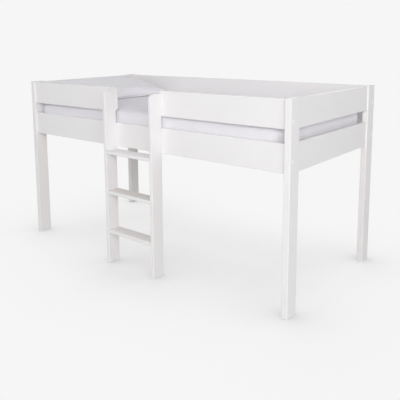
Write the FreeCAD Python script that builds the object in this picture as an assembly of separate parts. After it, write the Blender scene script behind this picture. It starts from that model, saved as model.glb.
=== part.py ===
"""Mid sleeper bed: a single bed on tall posts, with guard rails, ladder, slats, mattress and pillow.

Millimetres, +Z up. X runs along the bed, with the pillow at the -X end, and the ladder stands at -Y.
The origin is on the floor, under the middle of the bed and ladder together.
"""
import FreeCAD, Part
import math
import os

# Outside of the bed, over the posts
bed_length = 1985.0
bed_width = 976.0
post_height = 1056.0

# Corner posts: thin along the bed and deep across it
post_thickness = 33.0
post_depth = 84.0
post_reveal = 4.0  # how far the posts stand above the upper boards

# Boards between the posts
board_thickness = 20.0
board_height = 141.0
board_gap = 66.0  # slot between a lower and an upper board
long_setback = 13.0  # long boards behind the posts' front and back faces
end_setback = 8.0  # end boards behind the posts' end faces
edge_radius = 3.0  # eased edges of posts and straight boards
outline_chamfer = 2.0  # eased edges of posts' tops, guard rails and ladder stiles
guard_corner_radius = 20.0  # free ends of the guard rails

# Ladder, bolted on in the middle of the front
ladder_opening = 343.0  # clear width between the stiles
stile_thickness = 21.0
stile_depth = 84.0
stile_drop = 14.0  # stile tops below the guard rails' tops
stile_corner_radius = 32.0
tread_count = 3
tread_thickness = 20.0
tread_first_top = 208.0
tread_rise = 240.0
tread_edge_radius = 4.0

# Slatted base
base_height = 62.0  # top of the slats above the lower boards' bottom edges
batten_width = 25.0
batten_height = 30.0
batten_end_gap = 10.0  # to the posts
slat_count = 14
slat_width = 70.0
slat_thickness = 18.0
slat_side_gap = 3.0  # to the long boards
slat_margin = 5.0  # from the battens' ends to the first and last slat
slat_chamfer = 2.0
tape_width = 30.0
tape_thickness = 1.2
tape_spread = 560.0  # between the middles of the two tapes

# Mattress and pillow
mattress_thickness = 160.0
mattress_side_gap = 5.0
mattress_head_gap = 4.0
mattress_foot_gap = 15.0
mattress_corner_radius = 75.0
mattress_edge_radius = 30.0
mattress_crown = 6.0
mattress_crown_width = 110.0  # band along the edge over which the top rises
pillow_length = 432.0  # along the bed, as it lies
pillow_width = 740.0
pillow_foot_height = 30.0  # seam above the mattress, on the side towards the sleeper's feet
pillow_head_height = 74.0  # the same at the head boards, where the pillow is propped up
pillow_crown = 62.0  # top of the pillow above its seam
pillow_draw = 14.0  # how far its sides pull in between the corners, at the seam
pillow_base_inset = 72.0  # from the seam in to the patch that lies on the mattress
pillow_base_bow = 8.0  # how far that patch's sides bulge out
pillow_top_inset = 160.0  # from the seam in to the flat top
pillow_top_bow = 18.0  # how far the flat top's sides bulge out
pillow_head_gap = 2.0
soft_clearance = 0.3  # under the mattress and under the pillow

# Bolts that hold the long boards to the posts, with barrel nuts and cover caps
bolt_diameter = 6.0
bolt_head_diameter = 13.0
bolt_head_height = 4.0
counterbore_depth = 12.0
nut_distance = 45.0  # from the board's end to the barrel nut
nut_diameter = 10.0
nut_length = 14.0
bolt_overrun = 8.0  # bolt's tip past the middle of its nut
lower_bolt_height = 58.0  # above the lower board's bottom edge
upper_bolt_height = 41.0  # above the upper board's bottom edge
cap_diameter = 16.0
cap_rise = 1.6
cap_rim = 0.6  # height of the cap's upright edge
cap_stem = 4.0

# Dowels
dowel_diameter = 8.0
dowel_length = 40.0
dowel_in_post = 14.0
dowel_in_stile = 12.0
lower_dowel_height = 110.0
upper_dowel_height = 100.0
end_dowel_inset = 35.0  # from the end boards' top and bottom edges
tread_dowel_spacing = 46.0

# Ladder bolts, set from inside the bed into insert nuts
ladder_head_diameter = 15.0
ladder_head_height = 2.6
ladder_bolt_grip = 12.0  # length of bolt in the stile
insert_diameter = 10.0
insert_length = 13.0

# Wood screws
screw_diameter = 4.0
screw_head_diameter = 8.0
screw_head_height = 2.6
screw_point = 5.0
batten_screw_length = 36.0
batten_screw_count = 6
batten_screw_inset = 90.0
slat_screw_length = 34.0

hidden_flat_count = 8  # sides of the prisms that stand for round fasteners inside the wood, and their holes
cap_flat_count = 16  # the same for the cover caps
fit_clearance = 0.2  # on the radius, between a fastener and its hole
end_clearance = 0.5  # past the end of a fastener in a blind hole
angle_tolerance = 0.01  # radians, for edges that run along an axis

# Places that follow from the sizes
half_length = bed_length / 2
post_inner_x = half_length - post_thickness
end_board_outer_x = half_length - end_setback
end_board_inner_x = end_board_outer_x - board_thickness
end_board_middle_x = end_board_outer_x - board_thickness / 2

ladder_reach = stile_depth - long_setback
ladder_front_y = -(bed_width + ladder_reach) / 2
post_front_y = ladder_front_y + ladder_reach
post_back_y = post_front_y + bed_width
bed_middle_y = (post_front_y + post_back_y) / 2
rail_front_y = post_front_y + long_setback
rail_inner_y = rail_front_y + board_thickness
rail_middle_y = rail_front_y + board_thickness / 2
panel_back_y = post_back_y - long_setback
panel_inner_y = panel_back_y - board_thickness
panel_middle_y = panel_back_y - board_thickness / 2

upper_top_z = post_height - post_reveal
upper_bottom_z = upper_top_z - board_height
lower_top_z = upper_bottom_z - board_gap
lower_bottom_z = lower_top_z - board_height
lower_bolt_z = lower_bottom_z + lower_bolt_height
upper_bolt_z = upper_bottom_z + upper_bolt_height
lower_dowel_z = lower_bottom_z + lower_dowel_height
upper_dowel_z = upper_bottom_z + upper_dowel_height

stile_inner_x = ladder_opening / 2
stile_middle_x = stile_inner_x + stile_thickness / 2
stile_top_z = upper_top_z - stile_drop
stile_middle_y = ladder_front_y + stile_depth / 2
tread_tops = [tread_first_top + tread_rise * step for step in range(tread_count)]
ladder_bolt_heights = [lower_bottom_z + board_height / 2, upper_bottom_z + board_height / 2]

slat_top_z = lower_bottom_z + base_height
slat_bottom_z = slat_top_z - slat_thickness
batten_bottom_z = slat_bottom_z - batten_height
batten_half = post_inner_x - batten_end_gap
slat_end_x = batten_half - slat_margin - slat_width / 2
slat_pitch = 2 * slat_end_x / (slat_count - 1)
slat_places = [-slat_end_x + slat_pitch * i for i in range(slat_count)]

mattress_bottom_z = slat_top_z + soft_clearance
mattress_top_z = mattress_bottom_z + mattress_thickness

X = FreeCAD.Vector(1, 0, 0)
Y = FreeCAD.Vector(0, 1, 0)
Z = FreeCAD.Vector(0, 0, 1)


# General shapes

def point(x, y, z):
    return FreeCAD.Vector(x, y, z)


def block(x0, x1, y0, y1, z0, z1):
    """Box between two corners."""
    return Part.makeBox(x1 - x0, y1 - y0, z1 - z0, point(x0, y0, z0))


def ring(middle, direction, diameter, flats):
    """Regular outline that stands for a circle, square to a direction."""
    up = X if abs(direction.z) > 0.5 else Z
    side = direction.cross(up)
    spots = []
    for i in range(flats + 1):
        turn = 2 * math.pi * i / flats
        spots.append(middle + (up * math.cos(turn) + side * math.sin(turn)) * (diameter / 2))
    return Part.makePolygon(spots)


def rod(start, direction, length, diameter):
    """Round bar from a point along a direction."""
    return Part.Face(ring(start, direction, diameter, hidden_flat_count)).extrude(direction * length)


def turned(start, direction, stations, flats=hidden_flat_count):
    """Turned piece through (distance, diameter) stations along a direction."""
    rings = []
    for distance, diameter in stations:
        rings.append(ring(start + direction * distance, direction, diameter, flats))
    return Part.makeLoft(rings, True, True)


def quarter_round(share):
    """Height of a quarter round, 0 at its outer edge and 1 at its top, at a share of its width."""
    return math.sqrt(1 - (1 - share) ** 2)


def hole(start, direction, length, diameter):
    """Cutter for a fastener's hole, with the clearance that the fastener runs in."""
    return rod(start, direction, length, diameter + 2 * fit_clearance)


def straight_edges(shape, axis):
    """Straight edges of a shape that run along an axis."""
    chosen = []
    for edge in shape.Edges:
        along = edge.tangentAt(edge.FirstParameter)
        if isinstance(edge.Curve, Part.Line) and along.cross(axis).Length < angle_tolerance:
            chosen.append(edge)
    return chosen


def eased_board(x0, x1, y0, y1, z0, z1, axis, radius):
    """Board with its long edges rounded."""
    board = block(x0, x1, y0, y1, z0, z1)
    return board.makeFillet(radius, straight_edges(board, axis))


def chamfered_outline(board, across, size, keep):
    """Board with the edges of its two broad faces chamfered, apart from those that keep() names.

    across is the direction of the board's thickness.
    """
    box = board.BoundBox
    near, far = (box.XMin, box.XMax) if across == X else (box.YMin, box.YMax)
    chosen = []
    for edge in board.Edges:
        places = [vertex.Point.dot(across) for vertex in edge.Vertexes]
        on_near = max(places) < near + size / 2
        on_far = min(places) > far - size / 2
        if (on_near or on_far) and not keep(edge.CenterOfMass):
            chosen.append(edge)
    return board.makeChamfer(size, chosen)


def write(name, shape):
    """One node, as one solid or as a group of separate solids."""
    shape.exportStep(os.path.join("parts", name + ".step"))


# Fasteners, each made along a direction from the point where it is seated

def headed_bolt(seat, direction, length, head_diameter, head_height):
    """Bolt whose head stands on the seat, against the direction of its shank."""
    head = rod(seat, direction * -1, head_height, head_diameter)
    return head.fuse(rod(seat, direction, length, bolt_diameter)).removeSplitter()


def wood_screw(face, direction, length):
    """Countersunk screw with its head flush in a face."""
    return turned(face, direction, [
        (0, screw_head_diameter),
        (screw_head_height, screw_diameter),
        (length - screw_point, screw_diameter),
        (length, screw_diameter / 4),
    ])


def screw_hole(face, direction, length):
    """Cutter for a countersunk screw, a little wider and deeper than the screw."""
    return turned(face, direction, [
        (0, screw_head_diameter + 2 * fit_clearance),
        (screw_head_height, screw_diameter + 2 * fit_clearance),
        (length + end_clearance, screw_diameter + 2 * fit_clearance),
    ])


def cover_cap(face, direction):
    """Low domed cap with a stem in the counterbore; the direction points into the wood."""
    stations = [(0, cap_diameter)]
    for share in (0, 0.3, 0.8):
        height = cap_rim + (cap_rise - cap_rim) * quarter_round(share)
        stations.append((height, cap_diameter * (1 - share)))
    dome = turned(face, direction * -1, stations, cap_flat_count)
    return dome.fuse(rod(face, direction, cap_stem, bolt_head_diameter)).removeSplitter()


# Long boards: what each of their ends needs

class LongBoardEnd:
    """One end of a long board at a post: a bolt, its barrel nut and cap, and a dowel, all along X."""

    def __init__(self, side, middle_y, inward, bolt_z, dowel_z):
        self.side = side  # -1 at the head, +1 at the foot
        self.middle_y = middle_y
        self.inward = inward  # +1 where the bed's inside lies at +Y of the board
        self.bolt_z = bolt_z
        self.dowel_z = dowel_z
        self.along = X * -side  # from the post into the board
        self.outer_face = point(side * half_length, middle_y, bolt_z)
        self.seat = self.outer_face + self.along * counterbore_depth
        self.joint = point(side * post_inner_x, middle_y, bolt_z)
        self.nut_middle = self.joint + self.along * nut_distance
        self.dowel_joint = point(side * post_inner_x, middle_y, dowel_z)
        self.bolt_length = post_thickness - counterbore_depth + nut_distance + bolt_overrun

    def bolt(self):
        return headed_bolt(self.seat, self.along, self.bolt_length, bolt_head_diameter, bolt_head_height)

    def nut(self):
        body = rod(self.nut_middle - Y * (nut_length / 2), Y, nut_length, nut_diameter)
        bore_start = self.nut_middle - self.along * nut_diameter
        return body.cut(hole(bore_start, self.along, 2 * nut_diameter, bolt_diameter))

    def cap(self):
        return cover_cap(self.outer_face, self.along)

    def dowel(self):
        return rod(self.dowel_joint - self.along * dowel_in_post, self.along, dowel_length, dowel_diameter)

    def post_cuts(self):
        counterbore = hole(self.outer_face, self.along, counterbore_depth, bolt_head_diameter)
        through = hole(self.outer_face, self.along, post_thickness, bolt_diameter)
        depth = dowel_in_post + end_clearance
        socket = hole(self.dowel_joint, self.along * -1, depth, dowel_diameter)
        return [counterbore, through, socket]

    def board_cuts(self):
        depth = nut_distance + bolt_overrun + end_clearance
        bore = hole(self.joint, self.along, depth, bolt_diameter)
        mouth = Y * self.inward
        nut_floor = self.nut_middle - mouth * (nut_length / 2)
        nut_hole = hole(nut_floor, mouth, board_thickness, nut_diameter)
        dowel_depth = dowel_length - dowel_in_post + end_clearance
        socket = hole(self.dowel_joint, self.along, dowel_depth, dowel_diameter)
        return [bore, nut_hole, socket]


def long_ends(side, front):
    """The lower and the upper board ends at one post."""
    middle_y = rail_middle_y if front else panel_middle_y
    inward = 1 if front else -1
    return [
        LongBoardEnd(side, middle_y, inward, lower_bolt_z, lower_dowel_z),
        LongBoardEnd(side, middle_y, inward, upper_bolt_z, upper_dowel_z),
    ]


# End boards: dowels along Y into the posts

def end_dowel_heights(bottom_z):
    return [bottom_z + end_dowel_inset, bottom_z + board_height - end_dowel_inset]


def end_dowel_joints(side, front, bottom_z):
    """Where the dowels of one end board cross into a front or a back post, and the way into the board."""
    y = post_front_y + post_depth if front else post_back_y - post_depth
    into_board = Y if front else Y * -1
    return [(point(side * end_board_middle_x, y, z), into_board) for z in end_dowel_heights(bottom_z)]


def end_dowels(side):
    dowels = []
    for bottom_z in (lower_bottom_z, upper_bottom_z):
        for front in (True, False):
            for joint, into_board in end_dowel_joints(side, front, bottom_z):
                start = joint - into_board * (dowel_length / 2)
                dowels.append(rod(start, into_board, dowel_length, dowel_diameter))
    return dowels


# Painted wood

def corner_post(side, front):
    """Post with eased edges and top, and holes for its bolts and dowels."""
    x0 = -half_length if side < 0 else post_inner_x
    y0 = post_front_y if front else post_back_y - post_depth
    post = block(x0, x0 + post_thickness, y0, y0 + post_depth, 0, post_height)
    post = post.makeFillet(edge_radius, straight_edges(post, Z))
    top = [edge for edge in post.Edges if edge.BoundBox.ZMin > post_height / 2]
    post = post.makeChamfer(outline_chamfer, top)
    cuts = [cut for end in long_ends(side, front) for cut in end.post_cuts()]
    for bottom_z in (lower_bottom_z, upper_bottom_z):
        for joint, into_board in end_dowel_joints(side, front, bottom_z):
            depth = dowel_length / 2 + end_clearance
            cuts.append(hole(joint, into_board * -1, depth, dowel_diameter))
    return post.cut(cuts)


def end_board(side, bottom_z):
    """Board across the head or the foot, between two posts."""
    x0 = -end_board_outer_x if side < 0 else end_board_inner_x
    y0 = post_front_y + post_depth
    y1 = post_back_y - post_depth
    top_z = bottom_z + board_height
    board = eased_board(x0, x0 + board_thickness, y0, y1, bottom_z, top_z, Y, edge_radius)
    cuts = []
    for front in (True, False):
        for joint, into_board in end_dowel_joints(side, front, bottom_z):
            depth = dowel_length / 2 + end_clearance
            cuts.append(hole(joint, into_board, depth, dowel_diameter))
    return board.cut(cuts)


def ladder_bolt_cuts(side, height):
    """Bolt hole through a front board and the recess for its head, from inside the bed."""
    face = point(side * stile_middle_x, rail_inner_y, height)
    through = hole(face, Y * -1, board_thickness, bolt_diameter)
    recess = hole(face, Y * -1, ladder_head_height, ladder_head_diameter)
    return [through, recess]


def front_lower_rail():
    rail = eased_board(
        -post_inner_x, post_inner_x, rail_front_y, rail_inner_y, lower_bottom_z, lower_top_z,
        X, edge_radius,
    )
    cuts = []
    for side in (-1, 1):
        cuts += long_ends(side, True)[0].board_cuts()
        cuts += ladder_bolt_cuts(side, ladder_bolt_heights[0])
    cuts += batten_screw_holes(True)
    return rail.cut(cuts)


def guard_rail(side):
    """Upper front board from a post to the ladder, with the corners of its free end rounded."""
    x0 = -post_inner_x if side < 0 else stile_inner_x
    x1 = -stile_inner_x if side < 0 else post_inner_x
    rail = block(x0, x1, rail_front_y, rail_inner_y, upper_bottom_z, upper_top_z)
    at_post = post_inner_x - outline_chamfer
    free_end = [edge for edge in straight_edges(rail, Y) if abs(edge.CenterOfMass.x) < at_post]
    rail = rail.makeFillet(guard_corner_radius, free_end)
    rail = chamfered_outline(rail, Y, outline_chamfer, lambda middle: abs(middle.x) > at_post)
    cuts = long_ends(side, True)[1].board_cuts()
    cuts += ladder_bolt_cuts(side, ladder_bolt_heights[1])
    return rail.cut(cuts)


def back_panel():
    panel = eased_board(
        -post_inner_x, post_inner_x, panel_inner_y, panel_back_y, lower_bottom_z, upper_top_z,
        X, edge_radius,
    )
    cuts = [cut for side in (-1, 1) for end in long_ends(side, False) for cut in end.board_cuts()]
    cuts += batten_screw_holes(False)
    return panel.cut(cuts)


# Ladder

def tread_dowel_joints(side, top_z):
    """Where a tread's dowels cross into a stile."""
    z = top_z - tread_thickness / 2
    offsets = (-tread_dowel_spacing / 2, tread_dowel_spacing / 2)
    return [point(side * stile_inner_x, stile_middle_y + offset, z) for offset in offsets]


def ladder_stile(side):
    """Upright board with a rounded front top corner, on the floor and against the rails' faces."""
    x0 = stile_inner_x if side > 0 else -stile_inner_x - stile_thickness
    stile = block(x0, x0 + stile_thickness, ladder_front_y, rail_front_y, 0, stile_top_z)
    corner = [
        edge for edge in straight_edges(stile, X)
        if edge.CenterOfMass.z > stile_top_z / 2 and edge.CenterOfMass.y < stile_middle_y
    ]
    stile = stile.makeFillet(stile_corner_radius, corner)
    stile = chamfered_outline(stile, X, outline_chamfer, lambda middle: middle.z < outline_chamfer)
    cuts = []
    for top_z in tread_tops:
        for joint in tread_dowel_joints(side, top_z):
            cuts.append(hole(joint, X * side, dowel_in_stile + end_clearance, dowel_diameter))
    for height in ladder_bolt_heights:
        mouth = point(side * stile_middle_x, rail_front_y, height)
        cuts.append(hole(mouth, Y * -1, insert_length, insert_diameter))
    return stile.cut(cuts)


def ladder_tread(top_z):
    tread = eased_board(
        -stile_inner_x, stile_inner_x, ladder_front_y, rail_front_y, top_z - tread_thickness, top_z,
        X, tread_edge_radius,
    )
    cuts = []
    for side in (-1, 1):
        for joint in tread_dowel_joints(side, top_z):
            depth = dowel_length - dowel_in_stile + end_clearance
            cuts.append(hole(joint, X * -side, depth, dowel_diameter))
    return tread.cut(cuts)


def tread_dowels():
    dowels = []
    for top_z in tread_tops:
        for side in (-1, 1):
            for joint in tread_dowel_joints(side, top_z):
                start = joint + X * (side * dowel_in_stile)
                dowels.append(rod(start, X * -side, dowel_length, dowel_diameter))
    return dowels


def ladder_bolts():
    bolts = []
    for side in (-1, 1):
        for height in ladder_bolt_heights:
            seat = point(side * stile_middle_x, rail_inner_y - ladder_head_height, height)
            length = board_thickness - ladder_head_height + ladder_bolt_grip
            bolts.append(headed_bolt(seat, Y * -1, length, ladder_head_diameter, ladder_head_height))
    return bolts


def insert_nuts():
    nuts = []
    for side in (-1, 1):
        for height in ladder_bolt_heights:
            mouth = point(side * stile_middle_x, rail_front_y, height)
            body = rod(mouth, Y * -1, insert_length, insert_diameter)
            nuts.append(body.cut(hole(mouth, Y * -1, insert_length, bolt_diameter)))
    return nuts


# Slatted base

def batten_screw_faces(front):
    """Where the batten's screws enter it, on the side away from its board, and their direction."""
    y = rail_inner_y + batten_width if front else panel_inner_y - batten_width
    direction = Y * -1 if front else Y
    first = -batten_half + batten_screw_inset
    pitch = -2 * first / (batten_screw_count - 1)
    z = batten_bottom_z + batten_height / 2
    return [(point(first + pitch * i, y, z), direction) for i in range(batten_screw_count)]


def batten_screws(front):
    return [wood_screw(face, way, batten_screw_length) for face, way in batten_screw_faces(front)]


def batten_screw_holes(front):
    return [screw_hole(face, way, batten_screw_length) for face, way in batten_screw_faces(front)]


def slat_screw_faces(front):
    """Where the first and the last slat are screwed to one batten."""
    y = rail_inner_y + batten_width / 2 if front else panel_inner_y - batten_width / 2
    return [point(x, y, slat_top_z) for x in (slat_places[0], slat_places[-1])]


def slat_screws(front):
    return [wood_screw(face, Z * -1, slat_screw_length) for face in slat_screw_faces(front)]


def slat_screw_holes(front):
    return [screw_hole(face, Z * -1, slat_screw_length) for face in slat_screw_faces(front)]


def side_batten(front):
    y0 = rail_inner_y if front else panel_inner_y - batten_width
    batten = block(-batten_half, batten_half, y0, y0 + batten_width, batten_bottom_z, slat_bottom_z)
    return batten.cut(batten_screw_holes(front) + slat_screw_holes(front))


def slat(place):
    """Cross slat; the first and the last one have screw holes."""
    y0 = rail_inner_y + slat_side_gap
    y1 = panel_inner_y - slat_side_gap
    board = block(place - slat_width / 2, place + slat_width / 2, y0, y1, slat_bottom_z, slat_top_z)
    board = board.makeChamfer(slat_chamfer, straight_edges(board, Y))
    if place in (slat_places[0], slat_places[-1]):
        board = board.cut(slat_screw_holes(True) + slat_screw_holes(False))
    return board


def slat_tape(front):
    """Webbing under the slats that keeps them apart."""
    middle = bed_middle_y - tape_spread / 2 if front else bed_middle_y + tape_spread / 2
    reach = slat_end_x + slat_width / 2 - slat_chamfer
    y0 = middle - tape_width / 2
    return block(-reach, reach, y0, y0 + tape_width, slat_bottom_z - tape_thickness, slat_bottom_z)


# Mattress and pillow: lofts through level or tilted outlines

def rounded_outline(x0, x1, y0, y1, z, radius):
    """Level rectangle with round corners, four lines and four arcs."""
    bow = radius * (1 - math.sqrt(0.5))
    corners = [
        (point(x0, y0 + radius, z), point(x0 + bow, y0 + bow, z), point(x0 + radius, y0, z)),
        (point(x1 - radius, y0, z), point(x1 - bow, y0 + bow, z), point(x1, y0 + radius, z)),
        (point(x1, y1 - radius, z), point(x1 - bow, y1 - bow, z), point(x1 - radius, y1, z)),
        (point(x0 + radius, y1, z), point(x0 + bow, y1 - bow, z), point(x0, y1 - radius, z)),
    ]
    edges = []
    for i, corner in enumerate(corners):
        edges.append(Part.Arc(*corner).toShape())
        edges.append(Part.makeLine(corner[2], corners[(i + 1) % 4][0]))
    return Part.Wire(edges)


def mattress():
    """Mattress in a fitted sheet: round corners and edges, and a top that rises a little from its edge."""
    x0 = -post_inner_x + mattress_head_gap
    x1 = post_inner_x - mattress_foot_gap
    y0 = rail_inner_y + mattress_side_gap
    y1 = panel_inner_y - mattress_side_gap
    shoulder_z = mattress_top_z - mattress_crown
    round_steps = [math.radians(a) for a in (0, 45, 90)]
    levels = []
    for a in round_steps:
        inset = mattress_edge_radius * (1 - math.sin(a))
        levels.append((mattress_bottom_z + mattress_edge_radius * (1 - math.cos(a)), inset))
    for a in reversed(round_steps):
        inset = mattress_edge_radius * (1 - math.sin(a))
        levels.append((shoulder_z - mattress_edge_radius * (1 - math.cos(a)), inset))
    levels.append((mattress_top_z, mattress_crown_width))
    outlines = []
    for z, inset in levels:
        radius = max(mattress_corner_radius - inset, mattress_corner_radius - mattress_edge_radius)
        outlines.append(rounded_outline(x0 + inset, x1 - inset, y0 + inset, y1 - inset, z, radius))
    return Part.makeLoft(outlines, True, True)


def pillow():
    """Crowned pillow propped on the head boards: flat underneath, sides drawn in between its corners."""
    head_x = -end_board_inner_x + pillow_head_gap
    base_z = mattress_top_z + soft_clearance
    slope = (pillow_head_height - pillow_foot_height) / pillow_length

    def outline(inset, bow, seam_share, rise):
        """Four arcs; seam_share is 0 on the mattress and 1 at the seam, and rise is above the seam."""
        near = inset
        far = pillow_length - inset
        half = pillow_width / 2 - inset

        def spot(along, across):
            seam = pillow_foot_height + slope * (pillow_length - along)
            return point(head_x + along, bed_middle_y + across, base_z + seam * seam_share + rise)

        middle = (near + far) / 2
        corners = [spot(near, -half), spot(far, -half), spot(far, half), spot(near, half)]
        bows = [spot(middle, -half - bow), spot(far + bow, 0), spot(middle, half + bow), spot(near - bow, 0)]
        arcs = [Part.Arc(corners[i], bows[i], corners[(i + 1) % 4]) for i in range(4)]
        return Part.Wire([arc.toShape() for arc in arcs])

    def bow(share, end_bow):
        return -pillow_draw + (pillow_draw + end_bow) * math.sqrt(share)

    outlines = []
    for share in (1, 0.35):
        inset = pillow_base_inset * share
        outlines.append(outline(inset, bow(share, pillow_base_bow), 1 - quarter_round(share), 0))
    for share in (0, 0.12, 0.38, 0.7, 1):
        inset = pillow_top_inset * share
        rise = pillow_crown * quarter_round(share)
        outlines.append(outline(inset, bow(share, pillow_top_bow), 1, rise))
    return Part.makeLoft(outlines, True, True)


def main():
    os.makedirs("parts", exist_ok=True)
    sides = {"head": -1, "foot": 1}
    hands = {"left": -1, "right": 1}
    faces = {"front": True, "back": False}
    ends = [end for front in (True, False) for side in (-1, 1) for end in long_ends(side, front)]
    for face, front in faces.items():
        for hand, side in hands.items():
            write(f"post_{face}_{hand}", corner_post(side, front))
        write(f"side_batten_{face}", side_batten(front))
        write(f"slat_tape_{face}", slat_tape(front))
    for name, side in sides.items():
        write(f"{name}_lower_board", end_board(side, lower_bottom_z))
        write(f"{name}_upper_board", end_board(side, upper_bottom_z))
    write("front_lower_rail", front_lower_rail())
    write("back_panel", back_panel())
    for hand, side in hands.items():
        write(f"guard_rail_{hand}", guard_rail(side))
        write(f"ladder_stile_{hand}", ladder_stile(side))
    for number, top_z in enumerate(tread_tops, 1):
        write(f"ladder_tread_{number}", ladder_tread(top_z))
    for number, place in enumerate(slat_places, 1):
        write(f"slat_{number:02d}", slat(place))
    write("rail_bolts", Part.makeCompound([end.bolt() for end in ends]))
    write("barrel_nuts", Part.makeCompound([end.nut() for end in ends]))
    write("cover_caps", Part.makeCompound([end.cap() for end in ends]))
    write("rail_dowels", Part.makeCompound([end.dowel() for end in ends]))
    write("end_board_dowels", Part.makeCompound(end_dowels(-1) + end_dowels(1)))
    write("tread_dowels", Part.makeCompound(tread_dowels()))
    write("ladder_bolts", Part.makeCompound(ladder_bolts()))
    write("insert_nuts", Part.makeCompound(insert_nuts()))
    write("batten_screws", Part.makeCompound(batten_screws(True) + batten_screws(False)))
    write("slat_screws", Part.makeCompound(slat_screws(True) + slat_screws(False)))
    write("mattress", mattress())
    write("pillow", pillow())


main()
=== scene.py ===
"""Dresses a mid sleeper bed: white paint, a pine slatted base, a mattress in a fitted sheet and a pillow.

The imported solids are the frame. Metres, +Z up, X along the bed with the pillow at -X, and the ladder at -Y.
"""
import itertools
import math

import bmesh
import bpy
import numpy as np
from bpy.props import FloatProperty, FloatVectorProperty, IntProperty, PointerProperty
from mathutils import Matrix, Vector


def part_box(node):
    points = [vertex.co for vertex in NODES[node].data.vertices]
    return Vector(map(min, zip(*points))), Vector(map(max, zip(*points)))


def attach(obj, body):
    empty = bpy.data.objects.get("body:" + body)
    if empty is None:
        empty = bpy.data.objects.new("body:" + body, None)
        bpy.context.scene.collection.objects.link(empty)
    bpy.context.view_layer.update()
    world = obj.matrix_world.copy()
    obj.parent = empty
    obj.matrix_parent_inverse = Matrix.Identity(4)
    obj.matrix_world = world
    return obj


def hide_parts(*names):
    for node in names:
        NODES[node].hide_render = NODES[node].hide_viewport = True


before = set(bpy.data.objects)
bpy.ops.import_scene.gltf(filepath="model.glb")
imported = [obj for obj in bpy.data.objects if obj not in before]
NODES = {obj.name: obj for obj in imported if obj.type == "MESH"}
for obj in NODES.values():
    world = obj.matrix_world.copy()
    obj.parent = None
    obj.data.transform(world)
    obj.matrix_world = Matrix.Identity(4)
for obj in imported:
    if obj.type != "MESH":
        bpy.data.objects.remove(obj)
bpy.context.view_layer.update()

PICTURE = 400  # pixels along each side of the picture
SMALL = 1e-6  # what counts as nothing

bl_info = {
    "name": "Mid sleeper bed",
    "version": (1, 0, 0),
    "blender": (4, 5, 0),
    "location": "3D View > Sidebar > Mid sleeper",
    "description": "Paint, pine, bedding, fasteners and a plain studio for a mid sleeper bed",
    "category": "Object",
}


# Settings that a user would change

COLOUR = {"subtype": "COLOR", "min": 0, "max": 1}
SHARE = {"subtype": "FACTOR", "min": 0, "max": 1}
POWER = {"unit": "POWER", "min": 0, "max": 2000}


class PaintSettings(bpy.types.PropertyGroup):
    """White paint of the posts, boards and ladder."""

    colour: FloatVectorProperty(
        name="Paint", description="Colour of the paint", default=(0.85, 0.838, 0.84), **COLOUR
    )
    rubbed: FloatVectorProperty(
        name="Rubbed paint", description="Colour of the paint along handled edges",
        default=(0.74, 0.72, 0.70), **COLOUR,
    )
    wear: FloatProperty(name="Wear", description="How much the handled edges show", default=0.35, **SHARE)
    roughness: FloatProperty(
        name="Roughness", description="0 is gloss and 1 is chalk", default=0.5, **SHARE
    )
    stipple: FloatProperty(
        name="Stipple", description="Spacing of the marks that the roller left", unit="LENGTH",
        min=0.0005, max=0.02, default=0.0025,
    )


class PineSettings(bpy.types.PropertyGroup):
    """Bare wood of the slats, battens and dowels."""

    early: FloatVectorProperty(
        name="Early wood", description="Pale part of the year rings", default=(0.76, 0.61, 0.42), **COLOUR
    )
    late: FloatVectorProperty(
        name="Late wood", description="Dark part of the year rings", default=(0.55, 0.36, 0.19), **COLOUR
    )
    ring: FloatProperty(
        name="Year ring", description="Width of a year ring", unit="LENGTH",
        min=0.001, max=0.03, default=0.0055,
    )


class BeddingSettings(bpy.types.PropertyGroup):
    """Mattress in its sheet, and pillow in its case."""

    sheet: FloatVectorProperty(
        name="Sheet", description="Colour of the fitted sheet", default=(0.82, 0.80, 0.845), **COLOUR
    )
    case: FloatVectorProperty(
        name="Pillow case", description="Colour of the pillow case", default=(0.91, 0.89, 0.93), **COLOUR
    )
    thread: FloatProperty(
        name="Thread", description="Spacing of the threads", unit="LENGTH",
        min=0.0002, max=0.01, default=0.0007,
    )
    fold: FloatProperty(
        name="Folds", description="Depth of the folds in the fitted sheet", unit="LENGTH",
        min=0, max=0.02, default=0.0035,
    )
    pillow_thickness: FloatProperty(
        name="Pillow thickness", description="Of the filled pillow, before it is propped up", unit="LENGTH",
        min=0.05, max=0.2, default=0.142,
    )
    pillow_frames: IntProperty(
        name="Pillow steps", description="Steps of cloth simulation that fill the pillow",
        min=1, max=80, default=36,
    )


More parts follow.
